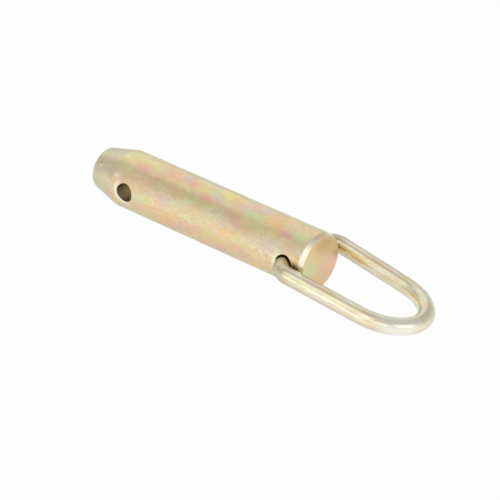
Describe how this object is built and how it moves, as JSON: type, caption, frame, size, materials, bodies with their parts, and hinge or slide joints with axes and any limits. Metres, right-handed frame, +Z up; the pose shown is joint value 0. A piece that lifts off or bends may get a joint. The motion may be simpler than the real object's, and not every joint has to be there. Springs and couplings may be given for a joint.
{
  "type": "hitch pin",
  "caption": "Straight steel hitch pin with a tapered nose, a cross hole for a retaining clip, and a swinging pull handle bent from round wire.",
  "frame": {"origin": "on the pin's axis, midway between its two cross holes", "axes": "+X along the pin to the head face, +Y along both cross holes, +Z up as the part lies on its side"},
  "size_m": [0.1862, 0.0493, 0.028],
  "materials": {
    "pin_plating": "yellow-passivated zinc plate on turned steel, satin, with faint iridescent patches",
    "handle_plating": "yellow-passivated zinc plate on drawn wire, satin"
  },
  "bodies": {
    "pin": {"pin_body": "pin_plating"},
    "handle": {"pull_handle": "handle_plating"}
  },
  "joints": [
    {"name": "handle_hinge", "type": "hinge", "parent": "pin", "child": "handle", "pos_m": [0.04715, 0, -0.00035], "axis": [0, -1, 0], "range_deg": [-155, 170]}
  ]
}
